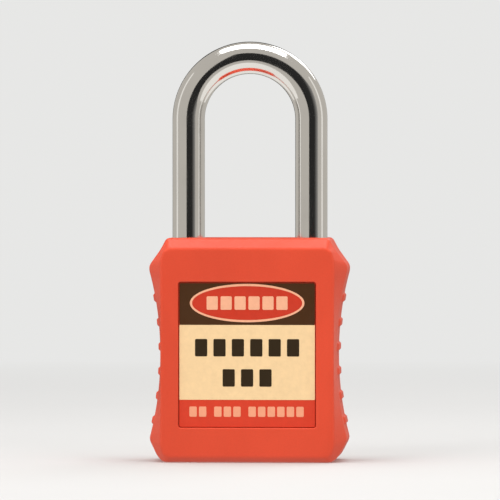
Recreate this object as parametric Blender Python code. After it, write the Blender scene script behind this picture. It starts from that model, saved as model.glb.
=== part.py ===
"""Safety padlock with a moulded nylon body, a steel shackle and a six-pin cylinder.

Frame: metres, +Z up, origin at the middle of the base, front face towards -Y.
The shackle is shut and the mechanism is in its unlocked state: both balls are
drawn in, so the shackle can lift.  Turning the plug and rotor by +90 degrees
pushes the balls out into the shackle's notches.
"""
import math

import bmesh
import bpy
from mathutils import Matrix, Vector

MM = 0.001

# ---- body -----------------------------------------------------------------
BODY_W = 40.0            # widest, across the upper and lower shoulders
BODY_D = 20.0            # front face to back face
BODY_H = 45.0
WAIST_HALF = 17.75       # half width at the waist, between ribs
WAIST_Z = 21.5           # height of the narrowest point
WAIST_R = 65.0           # radius of the hollow sides
FACE_HALF_W = 17.4       # half width of the flat front face
FACE_Z0, FACE_Z1 = 1.1, 42.9
SIDE_Y = 5.5             # the side land runs from -SIDE_Y to +SIDE_Y
RIB_PITCH = 4.9
RIB_Z = [WAIST_Z - 13.1 + RIB_PITCH * i for i in range(6)]
RIB_PROUD = 0.45
RIB_H = 2.0

# ---- shackle --------------------------------------------------------------
BAR_R = 3.25
LEG_X = 12.4
BOW_Z = 68.9             # height of the bow's centre
TOE_Z = 33.7             # tip of the short leg
HEAD_Z0, HEAD_Z1 = 15.9, 18.9
LAND_Z = 33.6            # the heel leg's waist runs from HEAD_Z1 to here
NECK_R = 1.9
LEG_BORE_R = 3.5
LIFT = 12.0

# ---- locking mechanism ----------------------------------------------------
BALL_R = 2.5
BALL_Z = 37.9
BALL_IN = 6.5            # ball centre when unlocked
BALL_OUT = 7.85          # ball centre when locked
NOTCH_R = 2.7
CHANNEL_R = 2.65
BLOCK_R, BLOCK_BORE_R = 7.4, 5.5
BLOCK_Z0, BLOCK_Z1 = 28.5, 41.6
CAM_R = 5.25
CAM_Z0, CAM_Z1 = 35.3, 40.5
STEM_R = 4.6
STEM_Z0 = 31.0

# ---- cylinder -------------------------------------------------------------
PLUG_R, HOUSING_BORE_R, HOUSING_R = 5.0, 5.15, 7.4
POCKET_R = 7.7
CYL_Z0, CYL_Z1 = 4.6, 28.2
PLUG_Z0 = 0.6
BIBLE_X, BIBLE_HALF = 15.2, 3.4
CHAMBER_R, PIN_R = 1.4, 1.3
CHAMBER_Z = [7.0 + 3.6 * i for i in range(6)]
KEY_PIN_L = [3.4, 4.6, 3.8, 4.2, 3.2, 4.0]
DRIVER_X0, DRIVER_L = 5.15, 3.4
PIN_SPRING_X0, PIN_SPRING_X1 = 8.7, 14.1

# ---- base plate, labels ---------------------------------------------------
COVER_Z0, COVER_Z1 = 0.3, 4.3
COVER_X, COVER_Y, COVER_CORNER = 15.9, 6.3, 2.0
COVER_GAP = 0.3
LABEL_X, LABEL_Z0, LABEL_Z1 = 13.8, 7.0, 36.2
RECESS = 0.9
LABEL_T = 0.35

COLOURS = {
    "red_nylon": ((0.76, 0.07, 0.035, 1), 0.45, 0.0),
    "label_print": ((0.98, 0.72, 0.42, 1), 0.4, 0.0),
    "chrome": ((0.82, 0.82, 0.82, 1), 0.12, 1.0),
    "steel": ((0.55, 0.56, 0.58, 1), 0.35, 1.0),
    "spring_steel": ((0.45, 0.46, 0.48, 1), 0.3, 1.0),
    "brass": ((0.75, 0.52, 0.2, 1), 0.3, 1.0),
}


def clear_scene():
    for obj in list(bpy.data.objects):
        bpy.data.objects.remove(obj, do_unlink=True)


def material(slot, name):
    colour, rough, metal = COLOURS[slot]
    mat = bpy.data.materials.new(name + "_" + slot)
    mat.use_nodes = True
    bsdf = mat.node_tree.nodes["Principled BSDF"]
    bsdf.inputs["Base Color"].default_value = colour
    bsdf.inputs["Roughness"].default_value = rough
    bsdf.inputs["Metallic"].default_value = metal
    mat.diffuse_color = colour
    return mat


def finish(bm, name, slot, origin=(0, 0, 0), smooth=True):
    """Object from a bmesh in millimetres, its origin at the given point."""
    bmesh.ops.recalc_face_normals(bm, faces=bm.faces)
    bmesh.ops.transform(bm, matrix=Matrix.Scale(MM, 4), verts=bm.verts)
    bmesh.ops.translate(bm, vec=-Vector(origin) * MM, verts=bm.verts)
    mesh = bpy.data.meshes.new(name)
    bm.to_mesh(mesh)
    bm.free()
    if smooth:
        mesh.shade_smooth()
        mesh.set_sharp_from_angle(angle=math.radians(35))
    obj = bpy.data.objects.new(name, mesh)
    obj.location = Vector(origin) * MM
    bpy.context.scene.collection.objects.link(obj)
    if slot:
        mesh.materials.append(material(slot, name))
    return obj


def cutter(bm, name):
    obj = finish(bm, "cut_" + name, "", smooth=False)
    obj.hide_render = True
    obj.display_type = "WIRE"
    return obj


def boolean(obj, other, operation="DIFFERENCE"):
    mod = obj.modifiers.new(other.name, "BOOLEAN")
    mod.operation = operation
    mod.solver = "EXACT"
    mod.object = other
    return mod


AXIS_TURN = {
    "Z": Matrix.Identity(4),
    "X": Matrix.Rotation(math.radians(90), 4, "Y"),
    "Y": Matrix.Rotation(math.radians(-90), 4, "X"),
}


def add_cylinder(bm, radius, start, length, axis="Z", sides=32, top_radius=None):
    """Round bar from start along +axis, with corners on the stated radius."""
    place = (
        Matrix.Translation(Vector(start))
        @ AXIS_TURN[axis]
        @ Matrix.Translation((0, 0, length / 2))
    )
    return bmesh.ops.create_cone(
        bm,
        cap_ends=True,
        segments=sides,
        radius1=radius,
        radius2=radius if top_radius is None else top_radius,
        depth=length,
        matrix=place,
    )["verts"]


def cylinder(radius, start, length, axis="Z", sides=32, top_radius=None):
    bm = bmesh.new()
    add_cylinder(bm, radius, start, length, axis, sides, top_radius)
    return bm


def box(low, high):
    bm = bmesh.new()
    size = Vector(high) - Vector(low)
    mid = (Vector(high) + Vector(low)) / 2
    bmesh.ops.create_cube(
        bm, size=1, matrix=Matrix.Translation(mid) @ Matrix.Diagonal((*size, 1))
    )
    return bm


def extrude_outline(points, z0, z1):
    """Prism over a closed outline of (x, y) points."""
    bm = bmesh.new()
    face = bm.faces.new([bm.verts.new((x, y, z0)) for x, y in points])
    top = bmesh.ops.extrude_face_region(bm, geom=[face])["geom"]
    bmesh.ops.translate(
        bm, vec=(0, 0, z1 - z0), verts=[v for v in top if isinstance(v, bmesh.types.BMVert)]
    )
    return bm


def turned(profile, sides=32):
    """Solid turned about Z from (radius, z) points, bottom to top, closed by flat ends."""
    bm = bmesh.new()
    ring = bmesh.ops.create_circle(bm, cap_ends=False, segments=sides, radius=profile[0][0])["verts"]
    bmesh.ops.translate(bm, vec=(0, 0, profile[0][1]), verts=ring)
    bm.faces.new(ring)
    edges = [e for e in bm.edges]
    for (r0, z0), (r1, z1) in zip(profile, profile[1:]):
        made = bmesh.ops.extrude_edge_only(bm, edges=edges)["geom"]
        verts = [g for g in made if isinstance(g, bmesh.types.BMVert)]
        edges = [
            g
            for g in made
            if isinstance(g, bmesh.types.BMEdge) and all(v in verts for v in g.verts)
        ]
        bmesh.ops.translate(bm, vec=(0, 0, z1 - z0), verts=verts)
        if r1 != r0:
            bmesh.ops.scale(bm, vec=(r1 / r0, r1 / r0, 1), verts=verts)
    bmesh.ops.contextual_create(bm, geom=edges)
    return bm


def rounded_rect(half_x, half_y, radius, steps=5):
    points = []
    for sx, sy, start in ((1, 1, 0), (-1, 1, 90), (-1, -1, 180), (1, -1, 270)):
        for i in range(steps + 1):
            a = math.radians(start + 90 * i / steps)
            points.append(
                (
                    sx * (half_x - radius) + radius * math.cos(a),
                    sy * (half_y - radius) + radius * math.sin(a),
                )
            )
    return points


# ---------------------------------------------------------------- the body
def side_half_width(z):
    """Half width of the hollow side at height z."""
    return WAIST_HALF + WAIST_R - math.sqrt(WAIST_R**2 - (z - WAIST_Z) ** 2)


def silhouette():
    """Right half of the body's outline as (x, z, depth) from the middle of the base up."""
    half = BODY_W / 2
    points = [(16.8, 0.0, 8.9), (17.6, 0.35, 8.4), (18.2, 1.1, 7.4), (half - 0.1, 4.3, SIDE_Y), (half, 5.0, SIDE_Y)]
    for i in range(13):
        z = 6.0 + (37.0 - 6.0) * i / 12
        points.append((min(side_half_width(z), half), z, SIDE_Y))
    points += [
        (half, 38.2, SIDE_Y),
        (half, 39.4, SIDE_Y),
        (18.9, 41.05, 6.1),
        (17.75, 42.5, 6.9),
        (17.0, 43.9, 7.5),
        (16.3, BODY_H, 7.9),
    ]
    return points


def face_point(x, z):
    """The point of the flat front face's edge that belongs to a point of the silhouette."""
    corner = 1.6
    fx = min(x, FACE_HALF_W)
    fz = min(max(z, FACE_Z0), FACE_Z1)
    # the face's corners are cut back a little
    for edge, sign in ((FACE_Z0, 1), (FACE_Z1, -1)):
        inside = (fz - edge) * sign
        if inside < corner:
            fx = min(fx, FACE_HALF_W - corner + inside)
            if inside == 0:
                fx = min(x - 0.6, FACE_HALF_W - corner)
    return fx, fz


def body_block():
    """The closed outer form: front outline, two matching outlines at mid depth, back outline."""
    right = silhouette()
    loop = [(x, z, d) for x, z, d in right] + [(-x, z, d) for x, z, d in reversed(right)]
    bm = bmesh.new()
    rings = []
    for which in range(4):
        ring = []
        for x, z, depth in loop:
            fx, fz = face_point(abs(x), z)
            fx = math.copysign(fx, x)
            if which == 0:
                p = (fx, -BODY_D / 2, fz)
            elif which == 1:
                p = (x, -depth, z)
            elif which == 2:
                p = (x, depth, z)
            else:
                p = (fx, BODY_D / 2, fz)
            ring.append(bm.verts.new(p))
        rings.append(ring)
    bm.faces.new(rings[0])
    bm.faces.new(list(reversed(rings[3])))
    for a, b in zip(rings, rings[1:]):
        for i in range(len(a)):
            j = (i + 1) % len(a)
            bm.faces.new((a[i], b[i], b[j], a[j]))
    bmesh.ops.triangulate(bm, faces=[f for f in bm.faces if len(f.verts) == 4])
    return bm


def rib(z, side):
    """Low grip rib with sloping sides across one side land."""
    root = side_half_width(z) - 1.5
    tip = side_half_width(z) + RIB_PROUD
    bm = bmesh.new()
    h, y = RIB_H / 2, SIDE_Y - 0.7
    section = [(root, z - h), (tip - RIB_PROUD, z - h), (tip, z - h + 0.55), (tip, z + h - 0.55), (tip - RIB_PROUD, z + h), (root, z + h)]
    face = bm.faces.new([bm.verts.new((side * a, -y, b)) for a, b in section])
    top = bmesh.ops.extrude_face_region(bm, geom=[face])["geom"]
    bmesh.ops.translate(bm, vec=(0, 2 * y, 0), verts=[v for v in top if isinstance(v, bmesh.types.BMVert)])
    return bm


def make_body():
    body = finish(body_block(), "body_shell", "red_nylon")
    for side, word in ((1, "right"), (-1, "left")):
        for i, z in enumerate(RIB_Z):
            boolean(body, cutter(rib(z, side), f"rib_{word}_{i + 1}"), "UNION")
    cuts = {
        "pocket": cylinder(POCKET_R, (0, 0, -1), 42.0 + 1, sides=48),
        "bible_slot": box((0, -BIBLE_HALF - 0.3, -1), (BIBLE_X + 0.3, BIBLE_HALF + 0.3, CYL_Z1 + 0.3)),
        "cover_recess": extrude_outline(
            rounded_rect(COVER_X + COVER_GAP, COVER_Y + COVER_GAP, COVER_CORNER + COVER_GAP), -1, COVER_Z1 + 0.3
        ),
        "heel_bore": cylinder(LEG_BORE_R, (-LEG_X, 0, 4.0), BODY_H + 1 - 4.0, sides=40),
        "toe_bore": cylinder(LEG_BORE_R, (LEG_X, 0, TOE_Z - 0.7), BODY_H + 1 - TOE_Z + 0.7, sides=40),
        "ball_channel": cylinder(CHANNEL_R, (-LEG_X, 0, BALL_Z), 2 * LEG_X, "X", 32),
        "retaining_pin_hole": cylinder(1.15, (-9.35, -5.3, 32.0), 16.5, "Y", 20),
        "cover_pin_hole_left": cylinder(0.95, (-13.0, -8.2, 2.3), 20, "Y", 20),
        "cover_pin_hole_right": cylinder(0.95, (13.0, -8.2, 2.3), 20, "Y", 20),
        "front_recess": box((-LABEL_X, -BODY_D / 2 - 1, LABEL_Z0), (LABEL_X, -BODY_D / 2 + RECESS, LABEL_Z1)),
        "back_recess": box((-LABEL_X, BODY_D / 2 - RECESS, LABEL_Z0), (LABEL_X, BODY_D / 2 + 1, LABEL_Z1)),
    }
    for name, bm in cuts.items():
        boolean(body, cutter(bm, name))
    return body


def make_bottom_cover():
    cover = finish(
        extrude_outline(rounded_rect(COVER_X, COVER_Y, COVER_CORNER), COVER_Z0, COVER_Z1), "bottom_cover", "red_nylon"
    )
    # the plate bulges round the plug, where the pocket is wider than the plate
    boolean(
        cover,
        cutter(cylinder(HOUSING_R, (0, 0, COVER_Z0), COVER_Z1 - COVER_Z0, sides=48), "plate_bulge"),
        "UNION",
    )
    boolean(cover, cutter(cylinder(PLUG_R + 0.35, (0, 0, -1), 7, sides=48), "plug_window"))
    for x, word in ((-13.0, "left"), (13.0, "right")):
        boolean(cover, cutter(cylinder(0.95, (x, -9, 2.3), 18, "Y", 20), "cover_hole_" + word))
        finish(
            cylinder(0.8, (x, -7.8, 2.3), 16.9, "Y", 16), "cover_pin_" + word, "steel"
        )
    return cover


def make_label(name, side):
    y = side * (BODY_D / 2 - RECESS + 0.3)
    low, high = sorted((y, y + side * LABEL_T))
    return finish(
        box((-LABEL_X + 0.3, low, LABEL_Z0 + 0.3), (LABEL_X - 0.3, high, LABEL_Z1 - 0.3)), name, "label_print"
    )


# ------------------------------------------------------------- the shackle
def make_shackle():
    """Bow spun about the Y axis, legs drawn down from its two ends."""
    bm = bmesh.new()
    ring = bmesh.ops.create_circle(bm, cap_ends=False, segments=20, radius=BAR_R)["verts"]
    bmesh.ops.translate(bm, vec=(-LEG_X, 0, BOW_Z), verts=ring)
    start = [e for e in bm.edges]
    last = bmesh.ops.spin(
        bm,
        geom=start,
        cent=(0, 0, BOW_Z),
        axis=(0, 1, 0),
        dvec=(0, 0, 0),
        angle=math.pi,
        steps=22,
        use_merge=False,
    )["geom_last"]
    end = [g for g in last if isinstance(g, bmesh.types.BMEdge)]

    def draw_down(edges, x, profile):
        radius, height = BAR_R, BOW_Z
        for r, z in profile:
            made = bmesh.ops.extrude_edge_only(bm, edges=edges)["geom"]
            verts = [g for g in made if isinstance(g, bmesh.types.BMVert)]
            edges = [g for g in made if isinstance(g, bmesh.types.BMEdge) and all(v in verts for v in g.verts)]
            bmesh.ops.translate(bm, vec=(0, 0, z - height), verts=verts)
            if r != radius:
                bmesh.ops.scale(
                    bm, vec=(r / radius, r / radius, 1), verts=verts, space=Matrix.Translation((-x, 0, 0))
                )
            radius, height = r, z
        bmesh.ops.contextual_create(bm, geom=edges)

    draw_down(
        start,
        -LEG_X,
        [(BAR_R, LAND_Z), (NECK_R, LAND_Z), (NECK_R, HEAD_Z1), (BAR_R, HEAD_Z1), (BAR_R, HEAD_Z0 + 0.6), (BAR_R - 0.6, HEAD_Z0)],
    )
    draw_down(end, LEG_X, [(BAR_R, TOE_Z + 1.0), (BAR_R - 0.8, TOE_Z)])
    shackle = finish(bm, "shackle", "chrome", origin=(-LEG_X, 0, BODY_H))
    for x, word in ((-BALL_OUT, "heel"), (BALL_OUT, "toe")):
        boolean(shackle, cutter(cylinder(NOTCH_R, (x, -5, BALL_Z), 10, "Y", 24), "notch_" + word))
    return shackle


def coil(name, centre, axis, start, end, mean_r, wire_r, turns, per_turn, slot):
    """Compression spring as a round wire on a helix, with closed ends."""
    points = []
    count = int(turns * per_turn)
    length = end - start - 2 * wire_r
    for i in range(count + 1):
        t = i / count
        # the end coils lie flat, the middle carries the pitch
        rise = min(max((t * turns - 0.75) / (turns - 1.5), 0.0), 1.0)
        flat = 2.3 * wire_r * min(t * turns / 0.75, 1.0) + 2.3 * wire_r * max((t * turns - turns + 0.75) / 0.75, 0.0)
        along = start + wire_r + flat + rise * (length - 4.6 * wire_r)
        a = 2 * math.pi * t * turns
        u, v = mean_r * math.cos(a), mean_r * math.sin(a)
        points.append((centre[0] + u, centre[1] + v, along) if axis == "Z" else (along, centre[1] + u, centre[2] + v))
    curve = bpy.data.curves.new(name, "CURVE")
    curve.dimensions = "3D"
    curve.bevel_depth = wire_r * MM
    curve.bevel_resolution = 1
    curve.use_fill_caps = True
    spline = curve.splines.new("POLY")
    spline.points.add(len(points) - 1)
    for p, co in zip(spline.points, points):
        p.co = (co[0] * MM, co[1] * MM, co[2] * MM, 1)
    obj = bpy.data.objects.new(name, curve)
    bpy.context.scene.collection.objects.link(obj)
    curve.materials.append(material(slot, name))
    return obj


# ----------------------------------------------------- locking mechanism
def cam_outline(steps=72):
    """Cam edge: inside the path that each ball takes as it moves out with the turn."""
    points = []
    for i in range(steps):
        phi = 2 * math.pi * i / steps
        radius = CAM_R
        for opposite in (0.0, math.pi):
            for k in range(46):
                theta = math.radians(2 * k)
                dist = BALL_IN + (BALL_OUT - BALL_IN) * 2 * k / 90
                delta = phi - (opposite - theta)
                across = dist * math.sin(delta)
                reach = BALL_R + 0.1
                if math.cos(delta) > 0 and abs(across) < reach:
                    radius = min(radius, dist * math.cos(delta) - math.sqrt(reach**2 - across**2))
        points.append((radius * math.cos(phi), radius * math.sin(phi)))
    return points


def make_mechanism():
    block = finish(cylinder(BLOCK_R, (0, 0, BLOCK_Z0), BLOCK_Z1 - BLOCK_Z0, sides=40), "locking_block", "steel")
    boolean(block, cutter(cylinder(BLOCK_BORE_R, (0, 0, BLOCK_Z0 - 1), BLOCK_Z1 - BLOCK_Z0 + 2, sides=48), "block_bore"))
    boolean(block, cutter(cylinder(6.3, (0, 0, BLOCK_Z0 - 1), 2.2, sides=40), "block_clip_room"))
    boolean(block, cutter(cylinder(CHANNEL_R, (-10, 0, BALL_Z), 20, "X", 32), "block_channel"))

    rotor = finish(extrude_outline(cam_outline(), CAM_Z0, CAM_Z1), "locking_rotor", "steel")
    stem = cutter(cylinder(3.7, (0, 0, STEM_Z0), CAM_Z0 - STEM_Z0 + 1.5, sides=32), "rotor_stem")
    boolean(rotor, stem, "UNION")
    boolean(rotor, cutter(box((-5, -1.15, STEM_Z0 - 1), (5, 1.15, 34.2)), "rotor_slot"))

    for x, word in ((BALL_IN, "toe"), (-BALL_IN, "heel")):
        bm = bmesh.new()
        bmesh.ops.create_uvsphere(
            bm, u_segments=16, v_segments=10, radius=BALL_R, matrix=Matrix.Translation((x, 0, BALL_Z))
        )
        finish(bm, "ball_" + word, "steel", origin=(x, 0, BALL_Z))

    follower = turned([(1.5, 11.5), (1.5, 14.1), (3.0, 14.1), (3.0, 15.6)], 24)
    bmesh.ops.translate(follower, vec=(-LEG_X, 0, 0), verts=follower.verts)
    finish(follower, "spring_follower", "steel", origin=(-LEG_X, 0, 14))
    coil("shackle_spring", (-LEG_X, 0, 0), "Z", COVER_Z1 + 0.3, 13.8, 2.65, 0.35, 6.5, 12, "spring_steel")
    finish(cylinder(1.0, (-9.35, -4.9, 32.0), 13.9, "Y", 20), "shackle_retaining_pin", "steel")


# ---------------------------------------------------------------- cylinder
def make_cylinder():
    housing = finish(cylinder(HOUSING_R, (0, 0, CYL_Z0), CYL_Z1 - CYL_Z0, sides=40), "cylinder_housing", "brass")
    boolean(housing, cutter(box((2, -BIBLE_HALF, CYL_Z0), (BIBLE_X, BIBLE_HALF, CYL_Z1)), "bible"), "UNION")
    boolean(housing, cutter(cylinder(HOUSING_BORE_R, (0, 0, CYL_Z0 - 1), CYL_Z1 - CYL_Z0 + 2, sides=48), "plug_bore"))
    boolean(housing, cutter(box((14.1, -1.95, 5.2), (BIBLE_X + 1, 1.95, 27.4)), "chamber_cover_seat"))

    plug = finish(cylinder(PLUG_R, (0, 0, PLUG_Z0), CYL_Z1 - PLUG_Z0, sides=40), "cylinder_plug", "brass")
    neck = turned([(3.6, 27.5), (3.6, 29.5), (4.6, 29.5), (4.6, 30.5)], 32)
    boolean(plug, cutter(neck, "plug_neck"), "UNION")
    boolean(plug, cutter(box((-3.0, -0.95, 30.0), (3.0, 0.95, 33.6)), "plug_tang"), "UNION")
    boolean(plug, cutter(box((-0.8, -2.2, -1), (0.8, 8, 27.0)), "keyway"))
    boolean(plug, cutter(box((-1.35, 1.2, -1), (0.0, 2.6, 27.0)), "keyway_ward"))

    for i, z in enumerate(CHAMBER_Z):
        boolean(housing, cutter(cylinder(CHAMBER_R, (3, 0, z), 14, "X", 20), f"housing_chamber_{i + 1}"))
        boolean(plug, cutter(cylinder(CHAMBER_R, (0, -8, z), 9.2, "Y", 20), f"plug_chamber_{i + 1}"))
        length = KEY_PIN_L[i]
        pin = cylinder(PIN_R, (0, -4.85, z), length - 0.7, "Y", 16)
        add_tip(pin, z, length)
        finish(pin, f"key_pin_{i + 1}", "brass", origin=(0, -4.85, z))
        finish(cylinder(PIN_R, (DRIVER_X0, 0, z), DRIVER_L, "X", 16), f"driver_pin_{i + 1}", "steel", origin=(DRIVER_X0, 0, z))
        coil(f"pin_spring_{i + 1}", (0, 0, z), "X", PIN_SPRING_X0, PIN_SPRING_X1, 0.95, 0.2, 4.5, 8, "spring_steel")

    finish(box((14.4, -1.65, 5.5), (BIBLE_X, 1.65, 27.1)), "chamber_cover", "brass")

    points = []
    for k in range(31):
        a = math.radians(30 + 300 * k / 30)
        points.append((6.0 * math.cos(a), 6.0 * math.sin(a)))
    for k in range(31):
        a = math.radians(330 - 300 * k / 30)
        points.append((3.9 * math.cos(a), 3.9 * math.sin(a)))
    finish(extrude_outline(points, 28.5, 29.2), "plug_retaining_clip", "spring_steel")


def add_tip(bm, z, length):
    """Blunt cone on the inner end of a key pin."""
    end = -4.85 + length - 0.7
    cap = next(f for f in bm.faces if len(f.verts) > 4 and f.calc_center_median().y > end - 0.01)
    made = bmesh.ops.extrude_face_region(bm, geom=[cap])["geom"]
    bmesh.ops.delete(bm, geom=[cap], context="FACES_ONLY") if cap.is_valid else None
    verts = [v for v in made if isinstance(v, bmesh.types.BMVert)]
    bmesh.ops.translate(bm, vec=(0, 0.7, 0), verts=verts)
    bmesh.ops.scale(bm, vec=(0.45, 1, 0.45), verts=verts, space=Matrix.Translation((0, 0, -z)))


clear_scene()
make_body()
make_bottom_cover()
make_label("front_label", -1)
make_label("back_label", 1)
make_shackle()
make_mechanism()
make_cylinder()
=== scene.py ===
"""Safety padlock: fine meshes, materials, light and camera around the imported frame."""
import math

import bmesh
import bpy
import numpy as np
from mathutils import Matrix, Vector


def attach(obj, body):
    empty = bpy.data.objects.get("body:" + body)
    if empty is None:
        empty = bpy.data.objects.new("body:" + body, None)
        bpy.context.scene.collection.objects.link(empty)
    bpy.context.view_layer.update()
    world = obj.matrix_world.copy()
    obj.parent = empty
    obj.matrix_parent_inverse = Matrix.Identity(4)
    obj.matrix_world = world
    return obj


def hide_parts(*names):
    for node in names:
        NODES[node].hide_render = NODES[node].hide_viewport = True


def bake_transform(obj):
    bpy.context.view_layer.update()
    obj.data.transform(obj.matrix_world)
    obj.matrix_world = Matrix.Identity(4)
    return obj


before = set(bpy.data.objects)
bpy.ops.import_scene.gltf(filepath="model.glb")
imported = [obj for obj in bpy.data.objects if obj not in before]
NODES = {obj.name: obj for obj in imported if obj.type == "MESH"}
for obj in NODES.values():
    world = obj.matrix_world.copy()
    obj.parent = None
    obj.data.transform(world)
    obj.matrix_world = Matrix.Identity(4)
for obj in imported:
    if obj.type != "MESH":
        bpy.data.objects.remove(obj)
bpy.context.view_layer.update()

MM = 0.001

# the same dimensions as the frame, in millimetres
BODY_W, BODY_D, BODY_H = 40.0, 20.0, 45.0
WAIST_HALF, WAIST_Z, WAIST_R = 17.75, 21.5, 65.0
FACE_HALF_W, FACE_Z0, FACE_Z1 = 17.4, 1.1, 42.9
SIDE_Y = 5.5
RIB_Z = [WAIST_Z - 13.1 + 4.9 * i for i in range(6)]
RIB_PROUD, RIB_H = 0.45, 2.0
BAR_R, LEG_X, BOW_Z, TOE_Z = 3.25, 12.4, 68.9, 33.7
HEAD_Z0, HEAD_Z1, LAND_Z, NECK_R = 15.9, 18.9, 33.6, 1.9
LEG_BORE_R = 3.5
BALL_Z, BALL_OUT, NOTCH_R, CHANNEL_R = 37.9, 7.85, 2.7, 2.65
PLUG_R, HOUSING_R, POCKET_R = 5.0, 7.4, 7.7
COVER_X, COVER_Y, COVER_CORNER, COVER_Z0, COVER_Z1 = 15.9, 6.3, 2.0, 0.3, 4.3
LABEL_X, LABEL_Z0, LABEL_Z1, RECESS = 13.8, 7.0, 36.2, 0.9


# ------------------------------------------------------------ small helpers
def smoothstep(x):
    x = np.clip(x, 0.0, 1.0)
    return x * x * (3 - 2 * x)


def new_object(name, verts, faces, angle=35.0):
    """Mesh object from points in millimetres."""
    mesh = bpy.data.meshes.new(name)
    mesh.from_pydata([tuple(float(c) * MM for c in v) for v in verts], [], faces)
    mesh.validate()
    bm = bmesh.new()
    bm.from_mesh(mesh)
    bmesh.ops.remove_doubles(bm, verts=bm.verts, dist=2e-7)
    bmesh.ops.recalc_face_normals(bm, faces=bm.faces)
    bm.to_mesh(mesh)
    bm.free()
    obj = bpy.data.objects.new(name, mesh)
    bpy.context.scene.collection.objects.link(obj)
    smooth(obj, angle)
    return obj


def smooth(obj, angle):
    obj.data.shade_smooth()
    if angle:
        obj.data.set_sharp_from_angle(angle=math.radians(angle))


def loft(name, rings, angle=35.0, cap=True):
    """Skin over rings of equal length; the first and last are closed with flat faces."""
    n = len(rings[0])
    verts = [p for ring in rings for p in ring]
    faces = []
    for r in range(len(rings) - 1):
        a, b = r * n, (r + 1) * n
        for i in range(n):
            j = (i + 1) % n
            faces.append((a + i, a + j, b + j, b + i))
    if cap:
        faces.append(tuple(reversed(range(n))))
        faces.append(tuple(range((len(rings) - 1) * n, len(rings) * n)))
    return new_object(name, verts, faces, angle)


def circle(radius, n=64, cx=0.0, cy=0.0):
    return [(cx + radius * math.cos(2 * math.pi * i / n), cy + radius * math.sin(2 * math.pi * i / n)) for i in range(n)]


def rounded_rect(hx, hy, r, steps=8, cx=0.0, cy=0.0):
    out = []
    for sx, sy, start in ((1, 1, 0), (-1, 1, 90), (-1, -1, 180), (1, -1, 270)):
        for i in range(steps + 1):
            a = math.radians(start + 90 * i / steps)
            out.append((cx + sx * (hx - r) + r * math.cos(a), cy + sy * (hy - r) + r * math.sin(a)))
    return out


PLACE = {
    "+Z": lambda u, v, t: (u, v, t),
    "+Y": lambda u, v, t: (u, t, v),
    "+X": lambda u, v, t: (t, u, v),
}


def slab(name, outline, levels, axis="+Z", angle=35.0):
    """Solid from one outline function of an offset, at (offset, height) levels along an axis."""
    place = PLACE[axis]
    rings = [[place(u, v, t) for u, v in outline(o)] for o, t in levels]
    return loft(name, rings, angle)


def edge_levels(low, high, r_low, r_high, steps=4):
    """Levels of a slab whose two rims are rounded."""
    out = []
    for k in range(steps + 1):
        a = math.pi / 2 * k / steps
        out.append((-r_low * (1 - math.sin(a)), low + r_low * (1 - math.cos(a))))
    for k in range(steps + 1):
        a = math.pi / 2 * k / steps
        out.append((-r_high * (1 - math.cos(a)), high - r_high * (1 - math.sin(a))))
    return out


def flare_levels(face, sign, lip, end, steps=6):
    """Levels of a cutter that leaves a rounded lip where it enters the face; sign is the way out."""
    out = [(lip, face + sign * 1.0)]
    for k in range(steps + 1):
        a = math.pi / 2 * k / steps
        out.append((lip * (1 - math.sin(a)), face + sign * 0.008 - sign * lip * (1 - math.cos(a))))
    out.append((0.0, end))
    return out


def flared(name, outline, face, sign, lip, end, axis):
    return slab(name, outline, flare_levels(face, sign, lip, end), axis, None)


def rod(name, r, p, length, axis, n=48):
    place = PLACE[axis]
    levels = [0.0, length]
    c = {"+Z": (p[0], p[1], p[2]), "+Y": (p[0], p[2], p[1]), "+X": (p[1], p[2], p[0])}[axis]
    rings = [[place(c[0] + u, c[1] + v, c[2] + t) for u, v in circle(r, n)] for t in levels]
    return loft(name, rings, None)


def block(name, low, high):
    x0, y0, z0 = low
    x1, y1, z1 = high
    rings = [[(x0, y0, z), (x1, y0, z), (x1, y1, z), (x0, y1, z)] for z in (z0, z1)]
    return loft(name, rings, None)


def bake_modifiers(obj):
    graph = bpy.context.evaluated_depsgraph_get()
    mesh = bpy.data.meshes.new_from_object(obj.evaluated_get(graph))
    old = obj.data
    obj.modifiers.clear()
    obj.data = mesh
    bpy.data.meshes.remove(old)


def boolean(obj, cutters, operation="DIFFERENCE", solver="MANIFOLD", angle=35.0):
    for c in cutters:
        mod = obj.modifiers.new("cut", "BOOLEAN")
        mod.operation = operation
        mod.solver = solver
        mod.object = c
    bpy.context.view_layer.update()
    before = len(obj.data.vertices)
    bake_modifiers(obj)
    for c in cutters:
        data = c.data
        bpy.data.objects.remove(c, do_unlink=True)
        bpy.data.meshes.remove(data)
    bm = bmesh.new()
    bm.from_mesh(obj.data)
    bmesh.ops.remove_doubles(bm, verts=bm.verts, dist=1e-6)
    bmesh.ops.dissolve_degenerate(bm, edges=bm.edges, dist=1e-7)
    bm.to_mesh(obj.data)
    bm.free()
    smooth(obj, angle)
    return before


def weighted(obj):
    mod = obj.modifiers.new("weighted_normals", "WEIGHTED_NORMAL")
    mod.keep_sharp = True
    mod.weight = 60


# ---------------------------------------------------------------- materials
def srgb(r, g, b):
    def lin(c):
        c /= 255.0
        return c / 12.92 if c <= 0.04045 else ((c + 0.055) / 1.055) ** 2.4
    return (lin(r), lin(g), lin(b), 1.0)


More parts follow.
